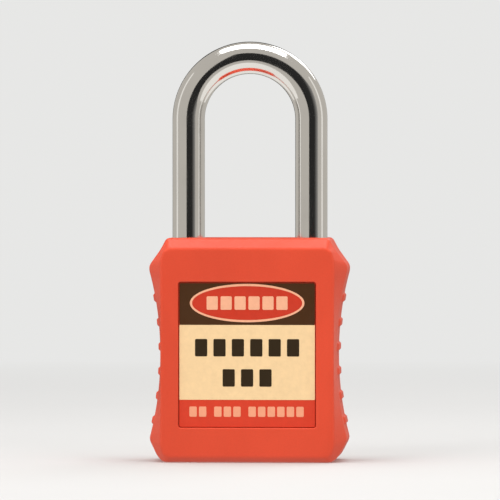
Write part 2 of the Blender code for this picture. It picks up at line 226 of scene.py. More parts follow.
class Mat:
    """Node material with short calls for the nodes used here."""

    def __init__(self, name, rough=0.5, metal=0.0, specular=0.5):
        self.mat = bpy.data.materials.new(name)
        self.mat.use_nodes = True
        self.tree = self.mat.node_tree
        self.bsdf = self.tree.nodes["Principled BSDF"]
        self.bsdf.inputs["Roughness"].default_value = rough
        self.bsdf.inputs["Metallic"].default_value = metal
        self.bsdf.inputs["Specular IOR Level"].default_value = specular
        coord = self.tree.nodes.new("ShaderNodeTexCoord")
        self.coord = coord.outputs["Object"]

    def link(self, a, b):
        self.tree.links.new(a, b)

    def noise(self, scale, detail=3.0, rough=0.5, stretch=None, distortion=0.0):
        n = self.tree.nodes.new("ShaderNodeTexNoise")
        n.inputs["Scale"].default_value = scale
        n.inputs["Detail"].default_value = detail
        n.inputs["Roughness"].default_value = rough
        n.inputs["Distortion"].default_value = distortion
        self.link(self.mapped(stretch), n.inputs["Vector"])
        return n.outputs["Fac"]

    def mapped(self, stretch):
        if stretch is None:
            return self.coord
        m = self.tree.nodes.new("ShaderNodeMapping")
        m.inputs["Scale"].default_value = stretch
        self.link(self.coord, m.inputs["Vector"])
        return m.outputs["Vector"]

    def voronoi(self, scale, stretch=None):
        n = self.tree.nodes.new("ShaderNodeTexVoronoi")
        n.inputs["Scale"].default_value = scale
        self.link(self.mapped(stretch), n.inputs["Vector"])
        return n.outputs["Distance"]

    def ramp(self, value, stops):
        n = self.tree.nodes.new("ShaderNodeValToRGB")
        n.color_ramp.elements[0].position = stops[0][0]
        n.color_ramp.elements[0].color = stops[0][1]
        n.color_ramp.elements[1].position = stops[-1][0]
        n.color_ramp.elements[1].color = stops[-1][1]
        for pos, col in stops[1:-1]:
            e = n.color_ramp.elements.new(pos)
            e.color = col
        self.link(value, n.inputs["Fac"])
        return n.outputs["Color"]

    def span(self, value, low, high, a=0.0, b=1.0):
        n = self.tree.nodes.new("ShaderNodeMapRange")
        n.inputs["From Min"].default_value = low
        n.inputs["From Max"].default_value = high
        n.inputs["To Min"].default_value = a
        n.inputs["To Max"].default_value = b
        self.link(value, n.inputs["Value"])
        return n.outputs["Result"]

    def math(self, op, a, b):
        n = self.tree.nodes.new("ShaderNodeMath")
        n.operation = op
        for i, v in enumerate((a, b)):
            if isinstance(v, (int, float)):
                n.inputs[i].default_value = v
            else:
                self.link(v, n.inputs[i])
        return n.outputs["Value"]

    def mix(self, fac, a, b, blend="MIX"):
        n = self.tree.nodes.new("ShaderNodeMix")
        n.data_type = "RGBA"
        n.blend_type = blend
        for key, v in (("Factor_Float", fac), ("A_Color", a), ("B_Color", b)):
            sock = next(s for s in n.inputs if s.identifier == key)
            if isinstance(v, (int, float)):
                sock.default_value = v
            elif isinstance(v, tuple):
                sock.default_value = v
            else:
                self.link(v, sock)
        return next(s for s in n.outputs if s.identifier == "Result_Color")

    def bump(self, layers):
        """Chain of (height, strength, distance in metres) bumps."""
        last = None
        for height, strength, distance in layers:
            n = self.tree.nodes.new("ShaderNodeBump")
            n.inputs["Strength"].default_value = strength
            n.inputs["Distance"].default_value = distance
            self.link(height, n.inputs["Height"])
            if last is not None:
                self.link(last, n.inputs["Normal"])
            last = n.outputs["Normal"]
        self.link(last, self.bsdf.inputs["Normal"])

    def colour(self, socket):
        self.link(socket, self.bsdf.inputs["Base Color"])

    def rough(self, socket):
        self.link(socket, self.bsdf.inputs["Roughness"])

    def pointiness(self):
        g = self.tree.nodes.new("ShaderNodeNewGeometry")
        return g.outputs["Pointiness"]


def tint(c, f):
    return (min(c[0] * f, 1.0), min(c[1] * f, 1.0), min(c[2] * f, 1.0), 1.0)


RED = (0.70, 0.069, 0.029, 1.0)


def red_nylon(name, grain=1.0, edge=True):
    """Moulded glass-filled nylon: satin, fine spark-eroded grain, slight flow marks, paler rubbed edges."""
    m = Mat(name, rough=0.43, specular=0.36)
    flow = m.noise(55, 4, 0.55, (1.0, 1.0, 0.45), 0.6)
    fine = m.noise(2600, 2, 0.6)
    base = m.ramp(flow, [(0.3, tint(RED, 0.93)), (0.7, tint(RED, 1.06))])
    base = m.mix(m.span(fine, 0.35, 0.75, 0.0, 0.16), base, tint(RED, 0.72))
    if edge:
        worn = m.span(m.pointiness(), 0.53, 0.62)
        patch = m.span(m.noise(240, 4, 0.6), 0.4, 0.7, 0.15, 1.0)
        worn = m.math("MULTIPLY", worn, patch)
        base = m.mix(m.math("MULTIPLY", worn, 0.4), base, (0.80, 0.15, 0.075, 1.0))
    m.colour(base)
    m.rough(m.math("ADD", m.span(m.noise(130, 5, 0.6), 0.3, 0.7, 0.38, 0.48), m.span(fine, 0.3, 0.7, -0.03, 0.05)))
    m.bump([
        (m.noise(45, 2, 0.5), 0.25, 0.00012),
        (m.voronoi(5200), 0.22 * grain, 0.000035),
        (fine, 0.25 * grain, 0.00003),
    ])
    m.bsdf.inputs["Subsurface Weight"].default_value = 0.06
    m.bsdf.inputs["Subsurface Radius"].default_value = (0.0012, 0.0004, 0.0002)
    m.bsdf.inputs["Subsurface Scale"].default_value = 1.0
    return m.mat


def printed(name, colour, rough=0.34, speck=0.05):
    """Screen-printed ink on a plastic plate: even, with a faint mottle and a slightly uneven film."""
    m = Mat(name, rough=rough, specular=0.3)
    mottle = m.noise(900, 4, 0.6)
    broad = m.noise(90, 3, 0.5)
    base = m.ramp(mottle, [(0.3, tint(colour, 1 - speck)), (0.7, tint(colour, 1 + speck * 0.6))])
    base = m.mix(m.span(broad, 0.35, 0.7, 0.0, 0.12), base, tint(colour, 0.88))
    m.colour(base)
    m.rough(m.span(m.noise(350, 4, 0.6), 0.3, 0.7, rough - 0.05, rough + 0.08))
    m.bump([(m.noise(1500, 3, 0.6), 0.15, 0.00002), (broad, 0.2, 0.00005)])
    return m.mat


def chrome(name):
    """Bright plate over a ground bar: nearly a mirror, with faint lengthwise polishing lines and rub marks."""
    m = Mat(name, rough=0.09, metal=1.0)
    lines = m.noise(900, 3, 0.6, (1.0, 1.0, 0.04))
    smudge = m.noise(110, 4, 0.6)
    scratch = m.noise(420, 6, 0.75, (1.0, 1.0, 0.18), 1.2)
    m.colour(m.mix(m.span(smudge, 0.4, 0.75, 0.0, 0.35), (0.80, 0.79, 0.77, 1), (0.68, 0.67, 0.66, 1)))
    r = m.math("ADD", m.span(smudge, 0.35, 0.75, 0.05, 0.14), m.span(scratch, 0.62, 0.75, 0.0, 0.12))
    m.rough(m.math("ADD", r, m.span(lines, 0.3, 0.7, 0.0, 0.03)))
    m.bump([(lines, 0.06, 0.00002), (m.noise(30, 2, 0.5), 0.15, 0.00006)])
    return m.mat


def machined(name, colour, rough=0.3, along=(1.0, 1.0, 6.0), metal=1.0):
    """Turned or ground metal: fine tool lines, uneven tarnish."""
    m = Mat(name, rough=rough, metal=metal)
    lines = m.noise(1400, 3, 0.6, along)
    stain = m.noise(160, 5, 0.6)
    base = m.mix(m.span(stain, 0.35, 0.75, 0.0, 0.45), colour, tint(colour, 0.68))
    base = m.mix(m.span(lines, 0.35, 0.7, 0.0, 0.2), base, tint(colour, 1.15))
    m.colour(base)
    m.rough(m.math("ADD", m.span(stain, 0.3, 0.75, rough - 0.08, rough + 0.12), m.span(lines, 0.3, 0.7, -0.03, 0.05)))
    m.bump([(lines, 0.2, 0.00003), (stain, 0.1, 0.00004)])
    return m.mat


def paint(obj, mat):
    obj.data.materials.clear()
    obj.data.materials.append(mat)
    for p in obj.data.polygons:
        p.material_index = 0


# ---------------------------------------------------------------- the body
def side_half_width(z):
    return WAIST_HALF + WAIST_R - math.sqrt(WAIST_R**2 - (z - WAIST_Z) ** 2)


def round_corners(points, radii, steps=6):
    """Open polyline with each corner replaced by a short curve of the given reach."""
    pts = [np.array(p, float) for p in points]
    out = [pts[0]]
    for i in range(1, len(pts) - 1):
        reach = radii[i]
        if reach <= 0:
            out.append(pts[i])
            continue
        a, b, c = pts[i - 1], pts[i], pts[i + 1]
        la = np.linalg.norm((b - a)[:2])
        lc = np.linalg.norm((c - b)[:2])
        fa, fc = min(reach / la, 0.48), min(reach / lc, 0.48)
        p, q = b + (a - b) * fa, b + (c - b) * fc
        for k in range(steps + 1):
            t = k / steps
            out.append((1 - t) ** 2 * p + 2 * t * (1 - t) * b + t * t * q)
    out.append(pts[-1])
    return out


def perimeter():
    """Closed loop of (Sx, Sz, depth, Fx, Fz): widest outline and front-face outline, point by point."""
    half = BODY_W / 2
    pts, rad = [(0, 0, 8.9, 0, FACE_Z0)], [0]
    for i in range(1, 6):
        pts.append((15.0 * i / 5, 0, 8.9, 14.2 * i / 5, FACE_Z0)); rad.append(0)
    pts += [(16.9, 0, 8.9, 15.9, FACE_Z0), (18.2, 1.1, 7.6, 16.9, 1.6), (half, 4.5, SIDE_Y, FACE_HALF_W, 3.4)]
    rad += [0.7, 0.8, 0.9]
    n = 164
    for i in range(n + 1):
        z = 5.6 + (37.2 - 5.6) * i / n
        pts.append((min(side_half_width(z), half), z, SIDE_Y, FACE_HALF_W, z)); rad.append(0)
    pts += [(half, 38.4, SIDE_Y, FACE_HALF_W, 38.4), (half, 39.5, SIDE_Y, FACE_HALF_W, 40.4), (17.6, 42.7, 7.0, 16.8, 42.4), (16.35, BODY_H, 7.9, 15.7, FACE_Z1)]
    rad += [0.5, 0.8, 0.9, 0.7]
    for i in range(5, 0, -1):
        pts.append((15.0 * i / 5, BODY_H, 7.9, 14.2 * i / 5, FACE_Z1)); rad.append(0)
    pts.append((0, BODY_H, 7.9, 0, FACE_Z1)); rad.append(0)
    right = round_corners(pts, rad)
    left = [p * np.array([-1, 1, 1, -1, 1]) for p in reversed(right[1:-1])]
    return right + left


def rib_height(z):
    h = 0.0
    for c in RIB_Z:
        h = max(h, float(smoothstep((RIB_H / 2 + 0.05 - abs(z - c)) / 0.55)))
    return h


def make_body():
    loop = perimeter()
    rings = None
    for sx, sz, d, fx, fz in loop:
        s = np.array([sx, -d, sz])
        s2 = np.array([sx, d, sz])
        f = np.array([fx, -BODY_D / 2, fz])
        f2 = np.array([fx, BODY_D / 2, fz])

        def inset(p, e):
            return np.array([p[0] * (1 - e / FACE_HALF_W), p[1], 22.0 + (p[2] - 22.0) * (1 - e / 20.9)])

        def bend(a, b, c, ra, rc, steps):
            la, lc = np.linalg.norm(a - b), np.linalg.norm(c - b)
            p, q = b + (a - b) * min(ra / la, 0.45), b + (c - b) * min(rc / lc, 0.45)
            return [(1 - t) ** 2 * p + 2 * t * (1 - t) * b + t * t * q for t in [k / steps for k in range(steps + 1)]]

        column = [inset(f, 1.5), inset(f, 0.9)]
        column += bend(inset(f, 0.9), f, s, 0.5, 0.5, 5)
        column += bend(f, s, s2, 0.55, 0.7, 5)
        a, b = column[-1], column[-1] * np.array([1, -1, 1])
        for k in range(1, 26):
            column.append(a + (b - a) * k / 26)
        front = column[: 2 + 12]
        column += [p * np.array([1, -1, 1]) for p in reversed(front)]
        if rings is None:
            rings = [[] for _ in column]
        for k, p in enumerate(column):
            x, y, z = p
            if abs(sx) > 17.7 and 5.0 < z < 38 and 8 <= k < len(column) - 8:
                w = float(smoothstep((4.75 - abs(y)) / 0.7))
                x += math.copysign(RIB_PROUD * rib_height(z) * w, sx)
            rings[k].append((x, y, z))
    return loft("body_shell_moulded", rings)


def cover_outline(offset, gap=0.0):
    """Rounded plate with a round bulge over the plug, both grown by the offset."""
    o = offset + gap
    hx, hy, r, c = COVER_X + o, COVER_Y + o, COVER_CORNER + o, HOUSING_R + o
    across = math.sqrt(c * c - hy * hy)
    pts = []
    def corner(sx, sy, start):
        for i in range(9):
            a = math.radians(start + 90 * i / 8)
            pts.append((sx * (hx - r) + r * math.cos(a), sy * (hy - r) + r * math.sin(a)))
    def bulge(sign):
        a0 = math.atan2(hy, across)
        for i in range(25):
            a = a0 + (math.pi - 2 * a0) * i / 24
            pts.append((sign * c * math.cos(a), sign * c * math.sin(a)))
    corner(1, 1, 0)
    bulge(1)
    corner(-1, 1, 90)
    corner(-1, -1, 180)
    bulge(-1)
    corner(1, -1, 270)
    return pts


body = make_body()
recess_outline = lambda o: rounded_rect(LABEL_X + o, (LABEL_Z1 - LABEL_Z0) / 2 + o, 0.5 + o, 6, 0, (LABEL_Z0 + LABEL_Z1) / 2)
boolean(body, [
    flared("c1", recess_outline, -BODY_D / 2, -1, 0.28, -BODY_D / 2 + RECESS, "+Y"),
    flared("c2", recess_outline, BODY_D / 2, 1, 0.28, BODY_D / 2 - RECESS, "+Y"),
    flared("c3", lambda o: circle(LEG_BORE_R + o, 72, -LEG_X, 0), BODY_H, 1, 0.35, 4.0, "+Z"),
    flared("c4", lambda o: circle(LEG_BORE_R + o, 72, LEG_X, 0), BODY_H, 1, 0.35, TOE_Z - 0.7, "+Z"),
    flared("c5", lambda o: cover_outline(o, 0.3), 0.0, -1, 0.3, COVER_Z1 + 0.3, "+Z"),
    rod("c6", POCKET_R, (0, 0, 2.0), 40.0, "+Z", 72),
    block("c7", (0, -3.7, 2.0), (15.5, 3.7, 28.5)),
    rod("c8", CHANNEL_R, (-LEG_X, 0, BALL_Z), 2 * LEG_X, "+X", 48),
    flared("c9", lambda o: circle(1.15 + o, 32, -9.35, 32.0), BODY_D / 2 - RECESS, 1, 0.15, -5.3, "+Y"),
    flared("c10", lambda o: circle(0.95 + o, 32, -13.0, 2.3), BODY_D / 2, 1, 0.15, -8.2, "+Y"),
    flared("c11", lambda o: circle(0.95 + o, 32, 13.0, 2.3), BODY_D / 2, 1, 0.15, -8.2, "+Y"),
])
paint(body, red_nylon("red_nylon_body"))
weighted(body)
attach(body, "body")
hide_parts("body_shell")

cover = slab("bottom_cover_moulded", cover_outline, edge_levels(COVER_Z0, COVER_Z1, 0.3, 0.2))
boolean(cover, [
    flared("d1", lambda o: circle(PLUG_R + 0.35 + o, 72), COVER_Z0, -1, 0.35, 6.0, "+Z"),
    rod("d2", 0.95, (-13.0, -9.0, 2.3), 18.0, "+Y", 32),
    rod("d3", 0.95, (13.0, -9.0, 2.3), 18.0, "+Y", 32),
])
paint(cover, red_nylon("red_nylon_cover"))
weighted(cover)
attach(cover, "body")
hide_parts("bottom_cover")


# ------------------------------------------------------------- the shackle
def make_shackle():
    """Round bar along the legs and the bow, its radius following the turned ends."""
    def fil(z, r0, r1, reach, sign):
        """Square step between two radii at one height, with no run between them."""
        return [(z, r0), (z, r1)]
    heel = [(HEAD_Z0, BAR_R - 0.75)]
    for k in range(7):
        a = math.pi / 2 * k / 6
        heel.append((HEAD_Z0 + 0.02 + 0.6 * (1 - math.cos(a)), BAR_R - 0.6 + 0.6 * math.sin(a)))
    for k in range(5):
        a = math.pi / 2 * k / 4
        heel.append((HEAD_Z1 - 0.25 * (1 - math.sin(a)), BAR_R - 0.25 * (1 - math.cos(a))))
    for k in range(5):
        a = math.pi / 2 * k / 4
        heel.append((HEAD_Z1 + 0.3 * (1 - math.cos(a)), NECK_R + 0.3 * (1 - math.sin(a))))
    for k in range(5):
        a = math.pi / 2 * k / 4
        heel.append((LAND_Z - 0.3 * math.cos(a), NECK_R + 0.3 * (1 - math.cos(a)) if k else NECK_R))
    for k in range(5):
        a = math.pi / 2 * k / 4
        heel.append((LAND_Z + 0.25 * (1 - math.cos(a)), BAR_R - 0.25 * (1 - math.sin(a))))
    heel += [(34.5, BAR_R), (42.0, BAR_R), (55.0, BAR_R), (BOW_Z - 0.5, BAR_R)]
    toe = [(TOE_Z, BAR_R - 0.95)]
    for k in range(9):
        a = math.pi / 2 * k / 8
        toe.append((TOE_Z + 0.02 + 1.1 * (1 - math.cos(a)), BAR_R - 0.85 + 0.85 * math.sin(a)))
    toe += [(36.0, BAR_R), (42.0, BAR_R), (55.0, BAR_R), (BOW_Z - 0.5, BAR_R)]
    n = 72
    rings = []
    def ring(cx, cz, dirx, dirz, r):
        """Ring round the point (cx, 0, cz), with its outward direction in the bow's plane."""
        return [(cx + dirx * r * math.cos(2 * math.pi * i / n), r * math.sin(2 * math.pi * i / n), cz + dirz * r * math.cos(2 * math.pi * i / n)) for i in range(n)]
    for z, r in heel:
        rings.append(ring(-LEG_X, z, -1, 0, r))
    steps = 96
    for k in range(steps + 1):
        a = math.pi - math.pi * k / steps
        rings.append(ring(LEG_X * math.cos(a), BOW_Z + LEG_X * math.sin(a), math.cos(a), math.sin(a), BAR_R))
    for z, r in reversed(toe):
        rings.append(ring(LEG_X, z, 1, 0, r))
    return loft("shackle_bar", rings)


shackle = make_shackle()
boolean(shackle, [rod("s1", NOTCH_R, (-BALL_OUT, -5, BALL_Z), 10, "+Y", 64), rod("s2", NOTCH_R, (BALL_OUT, -5, BALL_Z), 10, "+Y", 64)])
paint(shackle, chrome("chrome_shackle"))
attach(shackle, "shackle")
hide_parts("shackle")

# ---------------------------------------------------------------- labels
CREAM = (0.87, 0.63, 0.36, 1.0)
INK = (0.030, 0.018, 0.007, 1.0)
HEADER = (0.062, 0.024, 0.007, 1.0)
INK_RED = (0.66, 0.050, 0.022, 1.0)
PALE = (0.87, 0.44, 0.28, 1.0)


def print_piece(name, outline, side, low, high, mat):
    """Thin raised print, low and high being heights in front of the recess floor."""
    y0, y1 = side * (BODY_D / 2 - RECESS + low), side * (BODY_D / 2 - RECESS + high)
    soft = min(0.02, (high - low) * 0.45)
    levels = [(0.0, y0), (0.0, y1 - side * soft), (-soft * 0.3, y1 - side * soft * 0.3), (-soft, y1)]
    obj = slab(name, outline, levels, "+Y", 40)
    paint(obj, mat)
    weighted(obj)
    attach(obj, "body")
    return obj


def rect(x0, x1, z0, z1, r=0.12):
    return lambda o: rounded_rect((x1 - x0) / 2 + o, (z1 - z0) / 2 + o, max(r + o, 0.01), 4, (x0 + x1) / 2, (z0 + z1) / 2)


def ellipse(cx, cz, a, b, n=128):
    return lambda o: [(cx + (a + o) * math.cos(2 * math.pi * i / n), cz + (b + o) * math.sin(2 * math.pi * i / n)) for i in range(n)]


ink = printed("ink_dark", INK, 0.38)
header_ink = printed("ink_header", HEADER, 0.36)
cream_ink = printed("ink_cream", CREAM, 0.36)
red_ink = printed("ink_red", INK_RED, 0.34)
oval_ink = printed("ink_oval", (0.57, 0.040, 0.018, 1.0), 0.34)
pale_ink = printed("ink_pale", PALE, 0.36)
strip_ink = printed("ink_strip", (0.86, 0.36, 0.22, 1.0), 0.36)

LX = LABEL_X - 0.12
plate = slab("front_label_plate", lambda o: rounded_rect(LX + o, (LABEL_Z1 - LABEL_Z0) / 2 - 0.12 + o, 0.4 + o, 6, 0, (LABEL_Z0 + LABEL_Z1) / 2),
             [(0.0, -9.12), (0.0, -9.42), (-0.03, -9.47), (-0.1, -9.5)], "+Y", 40)
paint(plate, printed("label_plate_red", INK_RED, 0.36))
weighted(plate)
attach(plate, "body")
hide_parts("front_label")
print_piece("label_header", rect(-LX + 0.08, LX - 0.08, 27.6, LABEL_Z1 - 0.2, 0.3), -1, 0.38, 0.45, header_ink)
print_piece("label_panel", rect(-LX + 0.08, LX - 0.08, 12.6, 27.62, 0.15), -1, 0.38, 0.445, cream_ink)
print_piece("label_oval_rim", ellipse(0, 32.0, 11.5, 3.85), -1, 0.44, 0.48, pale_ink)
print_piece("label_oval", ellipse(0, 32.0, 11.05, 3.4), -1, 0.475, 0.50, oval_ink)


def row(name, count, centre_x, z0, z1, width, gap, base, mat, side=-1):
    total = count * width + (count - 1) * gap
    for i in range(count):
        x0 = centre_x - total / 2 + i * (width + gap)
        print_piece(f"{name}_{i + 1}", rect(x0, x0 + width, z0, z1, 0.25), side, base, base + 0.035, mat)


row("label_mark_a", 6, 0, 30.65, 33.35, 2.25, 0.55, 0.495, pale_ink)
row("label_mark_b", 6, 0, 21.3, 24.8, 2.45, 1.24, 0.44, ink)
row("label_mark_c", 3, 0, 15.25, 18.75, 2.45, 1.24, 0.44, ink)
x = -11.6
for g, count in enumerate((2, 3, 6)):
    width, gap = 1.5, 0.42
    total = count * width + (count - 1) * gap
    row(f"label_mark_d{g + 1}", count, x + total / 2, 9.2, 11.25, width, gap, 0.395, strip_ink)
    x += total + 1.55

back = slab("back_label_plate", lambda o: rounded_rect(LX + o, (LABEL_Z1 - LABEL_Z0) / 2 - 0.12 + o, 0.4 + o, 6, 0, (LABEL_Z0 + LABEL_Z1) / 2),
            [(0.0, 9.12), (0.0, 9.42), (-0.03, 9.47), (-0.1, 9.5)], "+Y", 40)
paint(back, printed("label_plate_cream", CREAM, 0.4))
weighted(back)
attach(back, "body")
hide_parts("back_label")
print_piece("back_label_header", rect(-LX + 0.08, LX - 0.08, 30.0, LABEL_Z1 - 0.2, 0.3), 1, 0.38, 0.45, red_ink)
for i, z in enumerate((25.2, 20.2, 15.2, 10.2)):
    print_piece(f"back_label_rule_{i + 1}", rect(-11.6, 11.6, z - 0.14, z + 0.14, 0.1), 1, 0.385, 0.425, ink)

# --------------------------------------------------- plug, pins and springs
def make_plug():
    levels = edge_levels(0.6, 28.2, 0.35, 0.15)
    plug = slab("cylinder_plug_turned", lambda o: circle(PLUG_R + o, 96), levels)
    neck = slab("n1", lambda o: circle(3.6 + o, 64), [(0, 27.5), (0, 29.5), (1.0, 29.5), (1.0, 30.4), (0.9, 30.5)])
    tang = block("n2", (-3.0, -0.95, 30.0), (3.0, 0.95, 33.6))
    boolean(plug, [neck], "UNION")
    boolean(plug, [tang], "UNION")
    def keyway(o):
        e = o
        return [(-0.8 - e, 8.0), (-0.8 - e, 2.6 + e), (-1.35 - e, 2.35 + e), (-1.35 - e, 1.45 - e), (-0.8 - e, 1.2 - e), (-0.8 - e, -1.9 - e), (-0.5 - e, -2.2 - e),
                (0.5 + e, -2.2 - e), (0.8 + e, -1.9 - e), (0.8 + e, 8.0)]
    cuts = [flared("k1", keyway, 0.6, -1, 0.22, 27.0, "+Z")]
    for i in range(6):
        cuts.append(rod(f"k{i + 2}", 1.4, (0, -8, 7.0 + 3.6 * i), 9.2, "+Y", 40))
    boolean(plug, cuts)
    return plug


plug = make_plug()
paint(plug, machined("brass_plug", (0.74, 0.62, 0.40, 1), 0.26, (1.0, 1.0, 5.0)))
weighted(plug)
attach(plug, "plug")
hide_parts("cylinder_plug")


def coil_points(turns, per_turn, mean_r, wire_r, start, end):
    count = int(turns * per_turn)
    length = end - start - 2 * wire_r
    pts = []
    for i in range(count + 1):
        t = i / count
        rise = min(max((t * turns - 0.75) / (turns - 1.5), 0.0), 1.0)
        flat = 2.3 * wire_r * min(t * turns / 0.75, 1.0) + 2.3 * wire_r * max((t * turns - turns + 0.75) / 0.75, 0.0)
        a = 2 * math.pi * t * turns
        pts.append((mean_r * math.cos(a), mean_r * math.sin(a), start + wire_r + flat + rise * (length - 4.6 * wire_r)))
    return pts


def tube(name, points, radius, sides=12):
    pts = [np.array(p) for p in points]
    rings = []
    for i, p in enumerate(pts):
        t = pts[min(i + 1, len(pts) - 1)] - pts[max(i - 1, 0)]
        t = t / np.linalg.norm(t)
        out = np.array([p[0], p[1], 0.0])
        out = out - t * out.dot(t)
        out = out / np.linalg.norm(out)
        side = np.cross(t, out)
        rings.append([tuple(p + radius * (math.cos(2 * math.pi * k / sides) * out + math.sin(2 * math.pi * k / sides) * side)) for k in range(sides)])
    return loft(name, rings, 50)


spring_wire = machined("spring_wire", (0.5, 0.5, 0.52, 1), 0.22, (1.0, 1.0, 1.0))
main_spring = tube("shackle_spring_wire", coil_points(6.5, 40, 2.65, 0.35, 4.6, 13.8), 0.35, 14)
main_spring.data.transform(Matrix.Translation((-LEG_X * MM, 0, 0)))
paint(main_spring, spring_wire)
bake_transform(main_spring)
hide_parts("shackle_spring")
for i in range(6):
    s = tube(f"pin_spring_wire_{i + 1}", coil_points(4.5, 28, 0.95, 0.2, 8.7, 14.1), 0.2, 10)
    s.data.transform(Matrix.Translation((0, 0, (7.0 + 3.6 * i) * MM)) @ Matrix(((0, 0, 1, 0), (1, 0, 0, 0), (0, 1, 0, 0), (0, 0, 0, 1))))
    paint(s, spring_wire)
    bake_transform(s)
    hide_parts(f"pin_spring_{i + 1}")

# ------------------------------------------------------------ inner pieces
BLOCK_R, BLOCK_BORE_R, BLOCK_Z0, BLOCK_Z1 = 7.4, 5.5, 28.5, 41.6
CAM_R, CAM_Z0, CAM_Z1, STEM_Z0 = 5.25, 35.3, 40.5, 31.0
BALL_R, BALL_IN = 2.5, 6.5
HOUSING_BORE_R, CYL_Z0, CYL_Z1 = 5.15, 4.6, 28.2
BIBLE_X, BIBLE_HALF = 15.2, 3.4
CHAMBER_R, PIN_R = 1.4, 1.3
CHAMBER_Z = [7.0 + 3.6 * i for i in range(6)]
KEY_PIN_L = [3.4, 4.6, 3.8, 4.2, 3.2, 4.0]
DRIVER_X0, DRIVER_L = 5.15, 3.4


def turned_piece(name, profile, place, n=64, angle=35.0):
    """Solid of revolution from (radius, along) points, laid by a function of (u, v, along)."""
    rings = [[place(u, v, t) for u, v in circle(r, n)] for r, t in profile]
    return loft(name, rings, angle)


def rod_profile(r, low, high, soft_low, soft_high, steps=5):
    """Bar with a rounded rim at each end."""
    return [(r + o, t) for o, t in edge_levels(low, high, soft_low, soft_high, steps)]


def carry(obj, node, body, mat):
    """Finishes a fine piece that stands for a node of the frame."""
    paint(obj, mat)
    if not node.startswith("ball"):
        weighted(obj)
    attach(obj, body)
    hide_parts(node)
    return obj


steel = machined("steel_machined", (0.56, 0.57, 0.59, 1), 0.3)
steel_pin = machined("steel_pin", (0.62, 0.62, 0.63, 1), 0.24)
ball_steel = machined("steel_ball", (0.72, 0.72, 0.74, 1), 0.12, (1.0, 1.0, 1.0))
brass = machined("brass_turned", (0.74, 0.52, 0.22, 1), 0.27)
strip = machined("spring_strip", (0.45, 0.46, 0.48, 1), 0.25)

# locking block: a ring with a room for the clip below and a channel for the balls
block_piece = slab("locking_block_turned", lambda o: circle(BLOCK_R + o, 96), edge_levels(BLOCK_Z0, BLOCK_Z1, 0.25, 0.25))
boolean(block_piece, [
    flared("b1", lambda o: circle(BLOCK_BORE_R + o, 96), BLOCK_Z1, 1, 0.2, BLOCK_Z0 - 1.0, "+Z"),
    flared("b2", lambda o: circle(6.3 + o, 96), BLOCK_Z0, -1, 0.12, BLOCK_Z0 + 1.2, "+Z"),
    rod("b3", CHANNEL_R, (-10, 0, BALL_Z), 20, "+X", 64),
])
carry(block_piece, "locking_block", "body", steel)


def cam_radii(steps=360):
    """Cam edge: inside the path that each ball takes as it moves out with the turn."""
    out = []
    for i in range(steps):
        phi = 2 * math.pi * i / steps
        radius = CAM_R
        for opposite in (0.0, math.pi):
            for k in range(91):
                theta = math.radians(k)
                dist = BALL_IN + (BALL_OUT - BALL_IN) * k / 90
                delta = phi - (opposite - theta)
                across = dist * math.sin(delta)
                reach = BALL_R + 0.1
                if math.cos(delta) > 0 and abs(across) < reach:
                    radius = min(radius, dist * math.cos(delta) - math.sqrt(reach**2 - across**2))
        out.append(radius)
    return out


CAM_EDGE = cam_radii()


def cam_outline(o):
    n = len(CAM_EDGE)
    return [((r + o) * math.cos(2 * math.pi * i / n), (r + o) * math.sin(2 * math.pi * i / n)) for i, r in enumerate(CAM_EDGE)]


rotor = slab("locking_rotor_cam", cam_outline, edge_levels(CAM_Z0, CAM_Z1, 0.15, 0.2))
boolean(rotor, [slab("r1", lambda o: circle(3.7 + o, 96), edge_levels(STEM_Z0, CAM_Z0 + 1.5, 0.25, 0.1))], "UNION")
boolean(rotor, [flared("r2", lambda o: rounded_rect(5.0, 1.15 + o, 0.1, 3), STEM_Z0, -1, 0.15, 34.2, "+Z")])
carry(rotor, "locking_rotor", "rotor", steel)


def ball_profile(r, n=32):
    """Half circle, with a facet too small to see at each pole."""
    return [(r * math.sin(math.pi * (k + 0.15) / (n + 0.3)), -r * math.cos(math.pi * (k + 0.15) / (n + 0.3))) for k in range(n + 1)]


for side, word in ((1, "toe"), (-1, "heel")):
    ball = turned_piece("ball_" + word + "_lapped", ball_profile(BALL_R), lambda u, v, t: (side * BALL_IN + t, u, BALL_Z + v), 64, 0)
    carry(ball, "ball_" + word, "ball_" + word, ball_steel)

follower = turned_piece("spring_follower_turned",
                        [(1.3, 11.5), (1.42, 11.56), (1.5, 11.7), (1.5, 14.0), (1.6, 14.1), (2.85, 14.1), (2.96, 14.16), (3.0, 14.25), (3.0, 15.45), (2.96, 15.54), (2.85, 15.6)],
                        lambda u, v, t: (u - LEG_X, v, t), 64)
carry(follower, "spring_follower", "shackle", steel_pin)

stop = turned_piece("shackle_retaining_pin_turned", rod_profile(1.0, -4.9, 9.0, 0.2, 0.2), lambda u, v, t: (u - 9.35, t, v + 32.0), 48)
carry(stop, "shackle_retaining_pin", "body", steel_pin)
for x, word in ((-13.0, "left"), (13.0, "right")):
    pin = turned_piece(f"cover_pin_{word}_turned", rod_profile(0.8, -7.8, 9.1, 0.15, 0.15), lambda u, v, t: (u + x, t, v + 2.3), 48)
    carry(pin, "cover_pin_" + word, "body", steel_pin)

